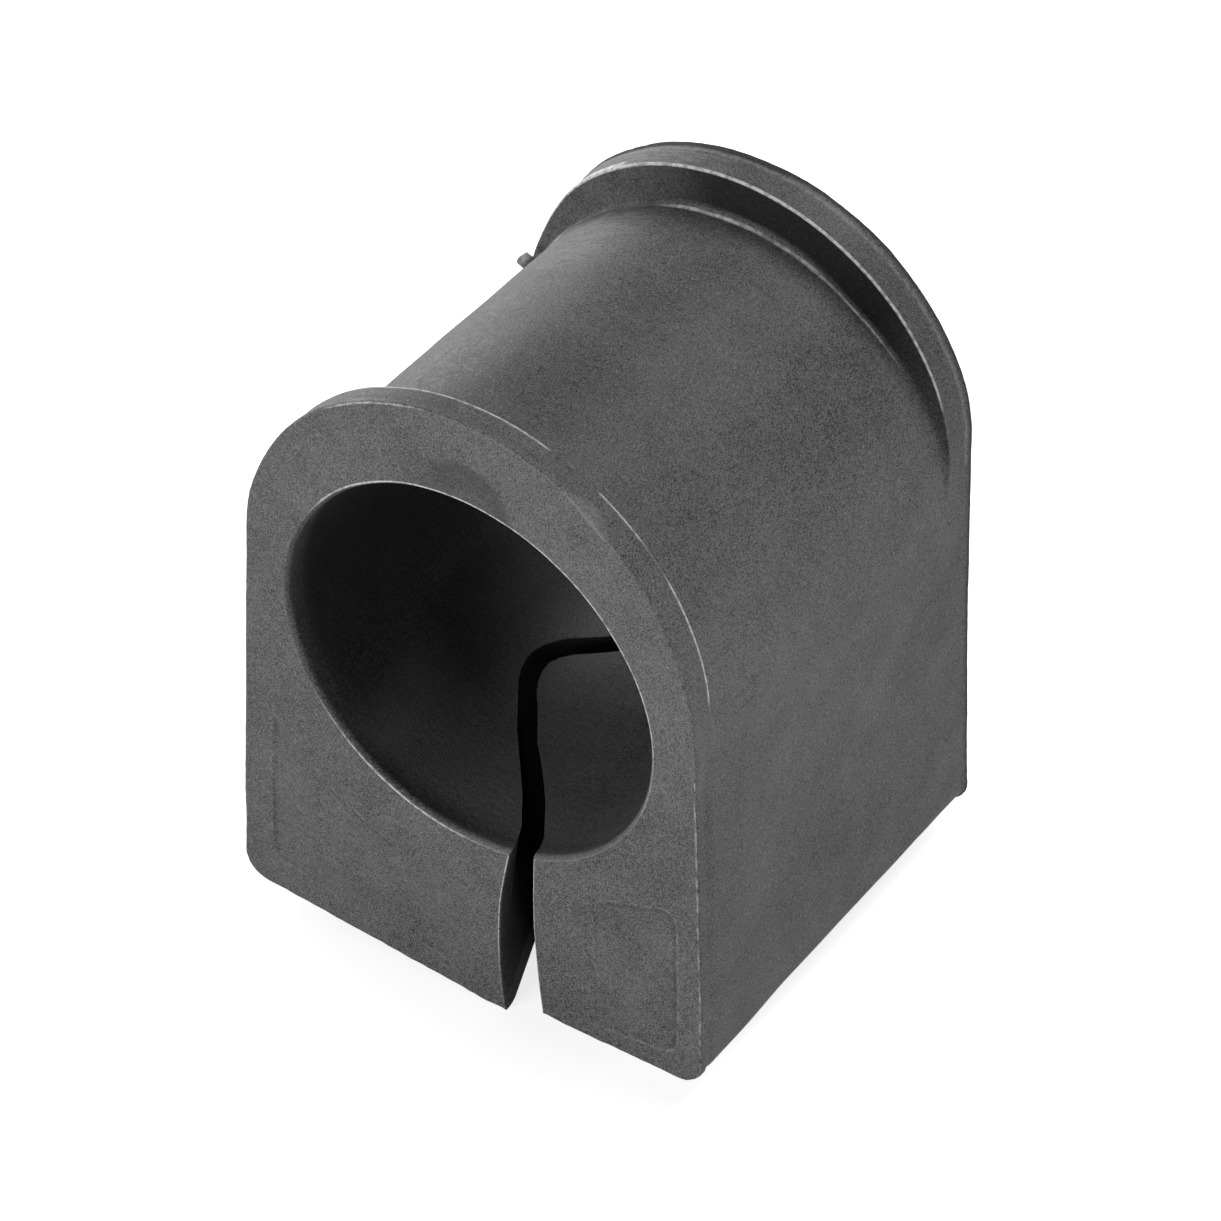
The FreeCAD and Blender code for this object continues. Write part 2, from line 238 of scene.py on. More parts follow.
def slit_wall(y, z, side):
    """x of the slit's left wall, side -1, or of its right wall, side 1."""
    stray = look_up(STRAYS, y + HALF, 1 if side < 0 else 2)
    return slit_middle(y, z) + side * by_depth(SLIT_GAP, z) / 2 + stray * ramp(z, *STRAY_FADE)


def row_table():
    """Rows of the mesh from the front face to the rear face: y, part of the bush, and share."""
    floor = np.linspace(FRONT_WALL + CORNER_R, REAR_WALL - CORNER_R, FLOOR_ROWS)[1:-1]
    return [
        *((s - HALF, "flange", 0.0) for s in FRONT_ROWS),
        *((FRONT_WALL - back, "crest", drop) for back, drop in CREST_ROWS),
        *((FRONT_WALL, "wall", share) for share in WALL_ROWS),
        *((FRONT_WALL + d, "corner", d) for d in FRONT_CORNER_ROWS),
        *((y, "floor", 0.0) for y in floor),
        *((REAR_WALL - d, "floor", 0.0) for d in BEFORE_CORNER_ROWS),
        *((REAR_WALL - d, "corner", d) for d in REAR_CORNER_ROWS),
        *((REAR_WALL, "wall", share) for share in reversed(WALL_ROWS)),
        *((REAR_WALL + back, "crest", drop) for back, drop in reversed(CREST_ROWS)),
        *((HALF - s, "flange", 0.0) for s in REAR_ROWS),
    ]


def channel_height(state, share, full):
    """Height over the saddle's radius at one row, for columns with full height `full`.

    The rounding of a flange's edge shrinks where the flange is lower than CREST_WHOLE_FROM.
    """
    cut = CREST_R * np.minimum(1.0, full / CREST_WHOLE_FROM)
    low = full - cut
    if state == "flange":
        return full
    if state == "crest":
        return full - share * cut
    if state == "wall":
        return (1 - share) * low + share * np.minimum(CORNER_R, low)
    if state == "corner":
        drop = CORNER_R - math.sqrt(max(0, CORNER_R**2 - (CORNER_R - share) ** 2))
        return np.minimum(drop, low)
    return np.zeros_like(full)


def sole_shares(length, count):
    """Shares at which a sole is divided, closer together beside the slit."""
    near = np.array([0.0, 0.1, 0.25, 0.5])
    rest = np.linspace(1.0, length, count - len(near) + 1)
    return np.concatenate([near, rest]) / length


SOLE_SHARE_L = sole_shares(30.0, SOLE_L)
SOLE_SHARE_R = sole_shares(16.0, SOLE_R)
SIDE_SHARE = np.linspace(0, 1, SIDE + 1)[1:]


def foot(y, side, leg):
    """Where the slit's wall meets a sole."""
    z = -leg
    for _ in range(6):
        x = slit_wall(y, z, side)
        z = (side * LEAN_SIN * x - leg) / LEAN_COS
    return np.array([float(x), float(z)])


def heel(side, leg):
    """Points and normals round a heel, from the sole to the side."""
    down = np.array([side * LEAN_SIN, -LEAN_COS])
    out = np.array([side * LEAN_COS, LEAN_SIN])
    centre = np.linalg.solve(np.array([down, out]), [leg - HEEL_R, SADDLE_R - HEEL_R])
    start, end = math.atan2(down[1], down[0]), math.atan2(out[1], out[0])
    if side < 0 and end > 0:
        end -= 2 * math.pi
    angle = np.linspace(start, end, HEEL + 1)
    n = np.column_stack([np.cos(angle), np.sin(angle)])
    return centre + HEEL_R * n, n


def crown(state, share):
    """Points and normals over the crown, between the saddle's circle and the flanges' arch."""
    phi = np.linspace(math.pi - LEAN, LEAN, ARCH + 1)
    n = np.column_stack([np.cos(phi), np.sin(phi)])
    low = SADDLE_R * n
    high = np.array([0, FLANGE_RAISE]) + FLANGE_R * n
    step = high - low
    height = channel_height(state, share, np.hypot(high[:, 0], high[:, 1]) - SADDLE_R)
    a, b = (step**2).sum(1), 2 * (low * step).sum(1)
    c = SADDLE_R**2 - (SADDLE_R + height) ** 2
    t = np.clip((-b + np.sqrt(np.maximum(b * b - 4 * a * c, 0))) / (2 * a), 0, 1)
    return low + step * t[:, None], n


def outline(y, state, share):
    """Outline points (x, z) and outward normals of one row, left foot to right foot."""
    left, left_n = heel(-1, LEFT_LEG)
    right, right_n = heel(1, RIGHT_LEG)
    top, top_n = crown(state, share)
    stretches = (
        (between(foot(y, -1, LEFT_LEG), left[0], SOLE_SHARE_L), left_n[0]),
        (left[1:], left_n[1:]),
        (between(left[-1], top[0], SIDE_SHARE), left_n[-1]),
        (top[1:], top_n[1:]),
        (between(top[-1], right[-1], SIDE_SHARE), right_n[-1]),
        (right[-2::-1], right_n[-2::-1]),
        (between(foot(y, 1, RIGHT_LEG), right[0], SOLE_SHARE_R[-2::-1]), right_n[0]),
    )
    points = np.concatenate([p for p, _ in stretches])
    normals = np.concatenate([np.broadcast_to(n, p.shape) for p, n in stretches])
    return points, normals


# the columns on the front face: their angle in radians, their way along the outline to the slit,
# and their angle on the flanges' arch
FACE_X, FACE_Z = outline(-HALF, "flange", 0.0)[0].T
AROUND = np.unwrap(np.arctan2(FACE_Z, FACE_X))
FROM_LEFT = np.concatenate([[0], np.cumsum(np.hypot(np.diff(FACE_X), np.diff(FACE_Z)))])
FROM_RIGHT = FROM_LEFT[-1] - FROM_LEFT
NEAR_SLIT = np.minimum(FROM_LEFT, FROM_RIGHT)
ARCH_ANGLE = np.degrees(np.arctan2(FACE_Z - FLANGE_RAISE, FACE_X))
ON_ARCH = FACE_Z > FLANGE_RAISE
RIGHT_SIDE = (FACE_X > 20) & (FACE_Z < 10)

# what changes along the arch: two softer stretches of the front flange's edges, painted highlights
# on both flanges' inner edges, and how far painted light, a lit bulge, reaches over the front
# flange
SOFT_RIM = 0.5 * bump(ARCH_ANGLE, 16, 55, 9) * ON_ARCH
TRIM = 0.25 * bump(ARCH_ANGLE, 62, 69, 4) * ON_ARCH
FRONT_CREST_HIGHLIGHT = ON_ARCH * np.maximum(
    0.35 * bump(ARCH_ANGLE, 8, 57, 4),
    0.95 * bump(ARCH_ANGLE, 74, 125, 3)
    + 0.7 * bump(ARCH_ANGLE, 47, 58, 3)
    + 0.85 * bump(ARCH_ANGLE, 8, 34, 5),
)
REAR_CREST_HIGHLIGHT = ON_ARCH * bump(ARCH_ANGLE, 26, 160, 12)
PAINTED_BULGE_LIGHT = 1.5 * ON_ARCH * bell(ARCH_ANGLE, 57.5, 4.5)


def lip_heights():
    """Height of the small lip along the faces' outer edges, for each column."""
    stretches = (
        (SOLE_L + 1, LIP_SOLE), (HEEL, LIP_HEEL), (SIDE, LIP_SIDE), (ARCH, LIP_ARCH),
        (SIDE, LIP_SIDE), (HEEL, LIP_HEEL), (SOLE_R, LIP_SOLE),
    )
    height = np.concatenate([np.full(count, lip) for count, lip in stretches])
    height = np.convolve(np.pad(height, 4, mode="edge"), np.ones(9) / 9, "valid")
    return height * ramp(NEAR_SLIT, 0.5, 3.0)


LIP_HEIGHT = lip_heights()
RIPPLE = Noise(SEED + 1, RIPPLE_LENGTH)


def rim_inset(s, radius):
    """How far a rounded rim lies inside the outline, a way s from the face."""
    return np.where(s < radius, radius - np.sqrt(np.maximum(radius**2 - (radius - s) ** 2, 0)), 0)


def mouth_bevel(s):
    """How much wider the bore is, a way s from a face."""
    return MOUTH_BEVEL * np.clip(1 - s / MOUTH_BEVEL_DEPTH, 0, 1) ** MOUTH_BEVEL_CURVE


def face_round(s):
    """How much the slit's walls stand back, a way s from a face."""
    return FACE_ROUND * np.clip(1 - s / FACE_ROUND_DEPTH, 0, 1) ** 2


def crossing(width):
    """Shares at which an end face is divided, from the bore's rim to the outline."""
    middle = [np.linspace(0.06, 0.76, 22), np.linspace(0.78, 0.94, 15), [0.965, 0.988, 1.0]]
    return np.concatenate([[0.0, 0.1 / width, 0.22 / width], *middle])


SLIT_CROSSING = crossing(SLIT_WALL_DEPTH)


def skin_row(row):
    """Points (x, z) of the outer skin on one row, with its rims and lips, and its ripple."""
    y, state, share = row
    from_front, from_rear = y + HALF, HALF - y
    points, normals = outline(y, state, share)
    inset = rim_inset(from_front, FRONT_RIM) + rim_inset(from_rear, REAR_RIM)
    inset = inset + SOFT_RIM * max(0, 1 - from_front / 1.5) ** 2
    inset = inset + TRIM * bell(from_front, FRONT_FLANGE, 0.5)
    lips = (1 - ramp(from_front, 0.8, 1.4)) + (1 - ramp(from_rear, 0.7, 1.2))
    ripple = RIPPLE(at_row(points[:, 0], 0.0, points[:, 1]))
    lip = lips * LIP_HEIGHT * (1 + LIP_RIPPLE * ripple)
    out = lip - inset * ramp(NEAR_SLIT, -0.3, 0.4)
    return points + normals * out[:, None], ripple


def front_edge_wear(from_front, z, ripple):
    """Painted highlight on the front face's outer edge: dotted at the right, whole on part of the
    arch.
    """
    dotted = 0.12 + 0.36 * ramp(ripple, -0.7, 0.7)
    dotted = dotted * (1 - 0.5 * ramp(-z, 32.0, 40.0))
    right = dotted * RIGHT_SIDE * (1 - ramp(z, -1.0, 8.0))
    arch = ON_ARCH * (0.5 * bump(ARCH_ANGLE, 107, 123, 9) + 0.1)
    return bell(from_front, 0.04, 0.05) * (right + arch + 0.1)


def rear_flange_marks(from_rear):
    """Wear with painted sheen, and painted shade, of the rear flange's outer surface, a way from
    the rear face.
    """
    # a pale streak at the flange's front, part scuff and part painted sheen
    scuff_and_sheen = bump(ARCH_ANGLE, 126, 150, 6) * bump(from_rear, 3.7, 4.6, 0.4)
    wear = ON_ARCH * (1.2 * scuff_and_sheen + 0.3 * bump(from_rear, 1.1, 1.5, 0.3))
    # painted shade along the flange's rounded back edge
    broad = 0.35 * bump(ARCH_ANGLE, 88, 150, 10)
    edge = 0.7 * (1 - ramp(from_rear - broad, 0.6, 0.95))
    edge = np.maximum(edge, 1 - ramp(from_rear, 0.2, 0.5))
    edge = np.maximum(edge, 0.2 * bump(ARCH_ANGLE, 12, 58, 10))
    return wear, (ON_ARCH | RIGHT_SIDE) * edge


def rear_corner_marks(state, drop, angle):
    """Painted highlight line and painted shade of the rear flange's wall and the saddle, a way
    `drop` from that wall.
    """
    plain = np.zeros(len(angle))
    shade = ON_ARCH * look_up(PAINTED_WALL_SHADE, angle)
    if state == "wall":
        return plain, shade
    # painted highlight along the corner's rounding
    line = look_up(CORNER_LINE, angle)
    reach = np.where(drop < line, 0.1, 0.13 + 0.05 * bump(angle, 68, 104, 4))
    wear = ON_ARCH * look_up(CORNER_LINE, angle, 2) * np.minimum(1, 2.0 * bell(drop, line, reach))
    if state == "floor":
        return wear, plain
    near_wall = 1 - ramp(drop, line - 0.5, line - 0.25)
    return wear, shade * near_wall * (1 - 0.25 * ramp(drop, 0.15, 0.6))


def skin_marks(row, points, ripple):
    """Wear and painted highlight, painted shade and painted light of the outer skin on one row."""
    y, state, share = row
    from_front, at_front = y + HALF, y < 0
    wear = dark = painted_light = np.zeros(len(points))
    # painted highlight along the flanges' crests
    if state == "crest" or (state == "wall" and share == 0):
        faint = state == "crest" and share == 0
        wear = FRONT_CREST_HIGHLIGHT if at_front else (0.3 if faint else 0.9) * REAR_CREST_HIGHLIGHT
    elif state == "flange" and at_front:
        # painted highlight on the front face's outer edge
        wear = front_edge_wear(from_front, points[:, 1], ripple)
        if from_front > 2.8:
            wear = 0.5 * FRONT_CREST_HIGHLIGHT
        # painted light on the front flange's outer surface, as if the lit front face bulged over it
        painted_light = 0.5 * ramp(PAINTED_BULGE_LIGHT - from_front, -0.15, 0.2) * (PAINTED_BULGE_LIGHT > 0.2)
    elif state == "flange":
        wear, dark = rear_flange_marks(HALF - y)
    elif not at_front:
        angle = np.degrees(np.arctan2(points[:, 1], points[:, 0]))
        wear, dark = rear_corner_marks(state, REAR_WALL - y, angle)
    return wear, dark, painted_light


def rim_wear(angle):
    """Painted highlight on the bore's rim at an angle in radians: none at the left, faint at the
    lower right.
    """
    return look_up(RIM_HIGHLIGHT, np.degrees(angle) % 360)


def bore_marks(from_front, from_rear, angle):
    """Painted rim highlight, painted shade and painted light of the bore on one row, at angles in
    radians.
    """
    turned = np.degrees(angle) % 360
    # painted highlight along both rims of the bore
    wear = 0.85 * rim_wear(angle) * (bell(from_front, 0, 0.09) + bell(from_rear, 0, 0.09))
    wear[0] = SLIT_EDGE_HIGHLIGHT
    # painted shade on the bore's left and deep inside, painted light low in it and at its mouth
    inward = ramp(from_front, 0.5, 4.0)
    deep = look_up(BORE_DEEP_PAINTED_SHADE, turned) * ramp(from_front, 8.0, 20.0)
    dark = inward * np.maximum(look_up(BORE_PAINTED_SHADE, turned), deep)
    lower_right = ramp(0.6 * np.cos(angle) - 0.8 * np.sin(angle), 0.6, 0.9)
    mouth_glow = 0.5 * lower_right * (1 - ramp(from_front, 0.8, 1.7))
    glow = inward * look_up(BORE_PAINTED_LIGHT, turned) * (1 - 0.7 * ramp(from_front, 4.0, 24.0))
    return wear, dark, np.maximum(mouth_glow, glow)


def slit_mouth(y, radius, side, face):
    """Where a wall of the slit meets the bore."""
    z = -math.sqrt(radius**2 - SLIT_CREST[0] ** 2)
    for _ in range(8):
        x = slit_wall(y, z, side) + side * face
        z = -math.sqrt(radius**2 - x**2)
    return x, z


def bore_angles(start, stop):
    """Angles of the columns in the bore, eased from the slit's mouths to the columns' own."""
    ease = math.radians(140)
    angle = AROUND + (start - AROUND[0]) * (1 - ramp(AROUND[0] - AROUND, 0, ease))
    return angle + (stop - AROUND[-1]) * (1 - ramp(AROUND - AROUND[-1], 0, ease))


class Sheet:
    """A grid of points, with each point's wear and painted highlight, painted shade and painted
    light.
    """

    def __init__(self, at):
        self.at = at
        self.wear, self.dark, self.painted_light = np.zeros((3, *at.shape[:2]))


def end_face(outer, inner, left, right):
    """Points of an end face, from the rim of the bore to the outline, between the slit's walls."""
    share = np.array([crossing(w) for w in np.linalg.norm(outer - inner, axis=1)])[..., None]
    grid = inner[:, None, :] * (1 - share) + outer[:, None, :] * share
    for wall, edge, way in ((left, 0, FROM_LEFT), (right, -1, FROM_RIGHT)):
        fade = 1 - ramp(way, 0, SLIT_BLEND)
        grid = grid + (wall - grid[edge])[None, :, :] * fade[:, None, None]
    return grid


def front_face(outer, inner, left, right):
    """The front face with its two shallow panels and the painted highlights on its edges."""
    front = Sheet(end_face(outer.at[0], inner.at[0], left.at[0], right.at[0]))
    inset, clear = panel_inset(front.at[..., 0], front.at[..., 2])
    front.at[..., 1] += PANEL_DEPTH * ramp(inset, -0.2, 0.4) * np.minimum(1, 2 * clear)
    rim = rim_wear(np.arctan2(inner.at[0, :, 2], inner.at[0, :, 0]))
    front.wear[:, 0], front.wear[:, 1] = rim, 0.9 * rim
    for first, last in ((0, -1), (1, -2)):
        front.wear[first] = np.maximum(front.wear[first], left.wear[0])
        front.wear[last] = np.maximum(front.wear[last], 0.8 * right.wear[0])
    front.wear[:, -1] = outer.wear[0]
    return front


def weld(sheets):
    """Points, faces and marks of all sheets, each with whether it is flipped, as one skin."""
    faces, start = [], 0
    for sheet, flipped in sheets:
        shape = sheet.at.shape[:2]
        index = start + np.arange(shape[0] * shape[1]).reshape(shape)
        quads = np.stack([index[:-1, :-1], index[:-1, 1:], index[1:, 1:], index[1:, :-1]], -1)
        quads = quads.reshape(-1, 4)
        faces.append(quads[:, ::-1] if flipped else quads)
        start += index.size
    points = np.concatenate([sheet.at.reshape(-1, 3) for sheet, _ in sheets])
    key = np.round(points, WELD_DECIMALS)
    _, first, place = np.unique(key, axis=0, return_index=True, return_inverse=True)
    place = place.reshape(-1)
    masks = {}
    for name in ("wear", "dark", "painted_light"):
        masks[name] = np.zeros(len(first))
        values = np.concatenate([getattr(sheet, name).reshape(-1) for sheet, _ in sheets])
        np.maximum.at(masks[name], place, values)
    rings = []
    for face in place[np.concatenate(faces)].tolist():
        ring = [p for k, p in enumerate(face) if p != face[k - 1]]
        if len(ring) >= 3 and len(set(ring)) == len(ring):
            rings.append(ring)
    return points[first], rings, masks


def build_bush():
    """Mesh of the bush: outer skin, bore, the slit's walls and the end faces, welded together."""
    rows = row_table()
    outer, inner = (Sheet(np.zeros((len(rows), len(AROUND), 3))) for _ in range(2))
    left, right = (Sheet(np.zeros((len(rows), len(SLIT_CROSSING), 3))) for _ in range(2))
    for i, row in enumerate(rows):
        y = row[0]
        from_front, from_rear = y + HALF, HALF - y
        skin, ripple = skin_row(row)
        outer.at[i] = at_row(skin[:, 0], y, skin[:, 1])
        outer.wear[i], outer.dark[i], outer.painted_light[i] = skin_marks(row, skin, ripple)

        radius = BORE_R + mouth_bevel(from_front) + mouth_bevel(from_rear)
        face = face_round(from_front) + face_round(from_rear)
        ends = []
        for side, wall, sole in ((-1, left, skin[0, 1]), (1, right, skin[-1, 1])):
            x, z = slit_mouth(y, radius, side, face)
            depth = z + (sole - z) * SLIT_CROSSING
            wall.at[i] = at_row(slit_wall(y, depth, side) + side * face, y, depth)
            # painted highlight along the slit's edges at the front face
            wall.wear[i] = 0.9 * bell(from_front, 0, 0.09)
            # painted shade on the slit's walls away from the front face, where the slit lies in
            # shadow
            wall.dark[i] = ramp(from_front, 5.0, 11.0)
            ends.append(math.atan2(z, x))
        left.wear[i, :2] = SLIT_EDGE_HIGHLIGHT
        outer.at[i, 0, 0], outer.at[i, -1, 0] = left.at[i, -1, 0], right.at[i, -1, 0]

        angle = bore_angles(ends[0], ends[1] - 2 * math.pi)
        inner.at[i] = at_row(radius * np.cos(angle), y, radius * np.sin(angle))
        left.at[i, 0], right.at[i, 0] = inner.at[i, 0], inner.at[i, -1]
        inner.wear[i], inner.dark[i], inner.painted_light[i] = bore_marks(from_front, from_rear, angle)

    front = front_face(outer, inner, left, right)
    rear = Sheet(end_face(outer.at[-1], inner.at[-1], left.at[-1], right.at[-1]))
    points, rings, masks = weld([
        (outer, False), (inner, True), (left, False), (right, True), (front, False), (rear, True),
    ])
    masks["stain"], masks["bloom_and_sheen"] = stain(points), bloom_and_sheen(points)
    inset, masks["panel_edge_shading"] = panel_inset(points[:, 0], points[:, 2])
    near_front = points[:, 1] < 0.5 - HALF
    masks["panel"] = np.where(near_front, np.clip(inset, -PANEL_FAR, PANEL_FAR), -PANEL_FAR)
    points = warp(points)
    points = points + WOBBLE * Noise(SEED, WOBBLE_LENGTH)(points)[:, None] * radial(points)
    mesh = bpy.data.meshes.new("rubber_bush")
    mesh.from_pydata((points * MM).tolist(), [], rings)
    for name, values in masks.items():
        mesh.attributes.new(name, "FLOAT", "POINT").data.foreach_set("value", values)
    mesh.validate()
    return mesh


def panel_inset(x, z):
    """Distance inside the nearer shallow panel of the front face, and how clear its edge is."""
    radius = np.hypot(x, z)

    def rounded(corner, *insets):
        short = [np.maximum(corner - inset, 0) ** 2 for inset in insets]
        return corner - np.sqrt(sum(short))

    # each panel's outer side, top and bottom, then its end at the slit or its arc round the bore
    left = rounded(1.5, x + 24.98 - (z + 19.4) * 0.043, -18.5 - z, z + 0.099 * x + 42.5)
    left = np.minimum.reduce([left, 0.3 - x, radius - 30.9])
    right_side = 25.75 - (z + 20.17) * 0.0455 - x
    right_top = 0.93 * (0.4 * (x - 16.9) - 22.35 - z)
    right = rounded(2.0, right_side, right_top, z - 0.149 * x + 43.46)
    right = np.minimum(right, radius - 28.3)
    clear_left = 0.08 + 0.5 * ramp(-x, 21.0, 23.0) + (z > -36.0) * bump(x, -17.0, -11.0, 3.0)
    clear_left = clear_left + (z < -38.0) * bump(x, -6.9, -5.3, 0.4)
    clear_right = 0.85 * ramp(x, 13.0, 20.0)
    clear = np.minimum(1, np.where(x < 5.0, clear_left, clear_right))
    return np.where(x < 5.0, left, right), clear


def stain(points):
    """A dark crescent above the bore on the front face, fading toward the bore and to the left."""
    x, y, z = points.T
    inside = 5.6 + 1.4 * ramp(-x, 2.0, 7.0) - np.hypot(x - 0.3, z - 22.1)
    strength = ramp(inside, -0.35, 0.55) * (1 - 0.5 * ramp(inside, 1.2, 4.5))
    strength = strength * (1 - 0.8 * ramp(-x, 1.5, 6.0))
    return strength * (1 - ramp(y, -26.6, -26.3))


def bloom_and_sheen(points):
    """Pale patches, part bloom and part painted sheen: on the saddle beside the rear flange and in
    its corner, and on the flange's shoulder.
    """
    x, y, z = points.T
    angle = np.degrees(np.arctan2(z, x))
    low = np.hypot(x, z) < SADDLE_R + 0.4
    saddle = 0.42 * bump(angle, 118, 150, 14) * bump(y, 12.0, 21.0, 7.0) * low
    shoulder = 0.38 * bump(angle, 98, 140, 9) * bump(y, 22.4, 25.0, 0.5) * ~low
    corner = 0.8 * bump(angle, 124, 146, 8) * bump(y, 20.2, 21.6, 0.7) * low
    return np.maximum.reduce([saddle, shoulder, corner]) * (z > 0)


def warp(points):
    """Moves points by the moulding's faults: sides wider at the front, flanges a little askew."""
    x, y, z = points.T
    is_left = x < 0
    rearward = (y + HALF) / (2 * HALF)
    distance = np.hypot(x, z)
    fade_from = np.where(is_left, 6.0 - 6 * rearward, 0.0)
    fade_to = np.where(is_left, 22.0 - 8 * rearward, 14.0)
    reach = ramp(distance, 24.0, 27.5) * ramp(np.abs(x), 8.0, 26.0)
    reach = reach * (1 - ramp(z, fade_from, fade_to))
    front = 0.42 - 0.32 * ramp(z, -30.0, -43.0)
    rear = 0.05 + 0.35 * ramp(z, -10.0, -39.0)
    shift = np.sign(x) * reach * ((1 - rearward) * front + rearward * rear)
    on_flange = ramp(distance, 27.6, 28.8)
    rear_left = 0.6 * ramp(z, 2.0, 11.0) * (1 - ramp(z, 15.0, 25.0))
    rear_right = 0.4 * ramp(z, 4.0, 14.0) * (0.4 + 0.6 * ramp(y, 22.1, 26.0))
    shift += on_flange * ramp(y, 20.0, 22.4) * np.where(is_left, rear_left, rear_right)
    front_right = ramp(x, 10.0, 24.0) * ramp(y, -26.2, -24.0) * (1 - ramp(y, -20.0, -10.0))
    shift += 0.3 * on_flange * front_right
    shift += 0.2 * ramp(-x, 10.0, 22.0) * ramp(z, 5.0, 14.0) * (1 - on_flange)
    points = points.copy()
    points[:, 0] += shift
    points[:, 2] += 0.15 * ramp(z, 20.0, 32.0) * ramp(y, 23.0, 26.7)
    return points


def radial(points):
    """Directions straight away from the bore's axis."""
    n = points * [1, 0, 1]
    return n / np.maximum(np.linalg.norm(n, axis=1), 1e-6)[:, None]


def link(data, name):
    made = bpy.data.objects.new(name, data)
    bpy.context.scene.collection.objects.link(made)
    return made


def build_gate():
    """Torn stub of the feed gate on the saddle: a small leaning prism with a ragged top."""
    random = np.random.default_rng(SEED + 5)
    outward = Vector((math.cos(GATE_ANGLE), 0, math.sin(GATE_ANGLE)))
    across = Vector((-math.sin(GATE_ANGLE), 0, math.cos(GATE_ANGLE)))
    along = Vector((0, 1, 0))
    made = bmesh.new()
    rings = []
    for height, swell in GATE_RINGS:
        ring = []
        for k in range(GATE_SIDES):
            turn = 2 * math.pi * k / GATE_SIDES
            box = max(abs(math.cos(turn)), abs(math.sin(turn)))
            reach = (GATE_SQUARE / box + 1 - GATE_SQUARE) * swell
            reach *= 1 + GATE_RAGGED * random.normal()
            top = GATE_TORN * random.normal() if height > GATE_TORN_FROM else 0
            spot = outward * (SADDLE_R + height + top)
            spot += across * (GATE_ACROSS * reach * math.cos(turn))
            spot += along * (GATE_Y + GATE_ALONG * reach * math.sin(turn) - GATE_TILT * height)
            ring.append(made.verts.new(spot * MM))
        rings.append(ring)
    for lower, upper in zip(rings, rings[1:]):
        for k in range(GATE_SIDES):
            made.faces.new((lower[k - 1], lower[k], upper[k], upper[k - 1]))
    made.faces.new(rings[-1])
    made.faces.new(rings[0][::-1])
    bmesh.ops.recalc_face_normals(made, faces=made.faces)
    mesh = bpy.data.meshes.new("gate_stub")
    made.to_mesh(mesh)
    made.free()
    return mesh


def join_gate(piece):
    """Makes the stub one skin with the bush, and gives it its paler colour, part wear and part
    painted light, which the union loses.
    """
    stub = link(build_gate(), "gate_stub")
    union = piece.modifiers.new("gate", "BOOLEAN")
    union.operation, union.solver, union.object = "UNION", "EXACT", stub
    joined = bpy.data.meshes.new_from_object(
        piece.evaluated_get(bpy.context.evaluated_depsgraph_get())
    )
    piece.modifiers.clear()
    piece.data = joined
    corners = [vertex.co for vertex in stub.data.vertices]
    low, high = ([pick(co[k] for co in corners) for k in range(3)] for pick in (min, max))
    # the raised stub is painted paler: torn rubber and painted light
    for vertex, worn_and_lit in zip(joined.vertices, joined.attributes["wear"].data):
        raised = math.hypot(vertex.co.x, vertex.co.z) > (SADDLE_R + GATE_LIGHTENED_FROM) * MM
        if raised and all(low[k] <= vertex.co[k] <= high[k] for k in range(3)):
            worn_and_lit.value = GATE_WEAR_AND_LIGHT
    bpy.data.objects.remove(stub)


class Graph:
    """Short calls for building the nodes of a material or a world."""

    def __init__(self, owner):
        owner.use_nodes = True
        self.tree = owner.node_tree

    def node(self, kind, **settings):
        made = self.tree.nodes.new("ShaderNode" + kind)
        for key, value in settings.items():
            setattr(made, key, value)
        return made

    def plug(self, value, socket):
        if isinstance(value, bpy.types.NodeSocket):
            self.tree.links.new(value, socket)
        else:
            socket.default_value = value

    def math(self, operation, *values):
        made = self.node("Math", operation=operation)
        for value, socket in zip(values, made.inputs):
            self.plug(value, socket)
        return made.outputs[0]

    def times(self, *values):
        product = values[0]
        for value in values[1:]:
            product = self.math("MULTIPLY", product, value)
        return product

    def swing(self, noise, amount, base):
        """The base, raised and lowered by an amount with a noise."""
        return self.math("MULTIPLY_ADD", self.math("SUBTRACT", noise, 0.5), amount, base)

    def noise(self, where, scale, detail):
        made = self.node("TexNoise")
        self.plug(where, made.inputs["Vector"])
        made.inputs["Scale"].default_value = scale
        made.inputs["Detail"].default_value = detail
        return made.outputs["Fac"]

    def spread(self, value, low, high, bottom=0.0, top=1.0):
        made = self.node("MapRange", interpolation_type="SMOOTHSTEP")
        for socket, item in zip(made.inputs, (value, low, high, bottom, top)):
            self.plug(item, socket)
        return made.outputs[0]

    def blend(self, share, first, second):
        made = self.node("Mix", data_type="RGBA")
        self.plug(share, made.inputs[0])
        for item, socket in ((first, made.inputs[6]), (second, made.inputs[7])):
            is_socket = isinstance(item, bpy.types.NodeSocket)
            self.plug(item if is_socket else (item, item, item, 1), socket)
        return made.outputs[2]


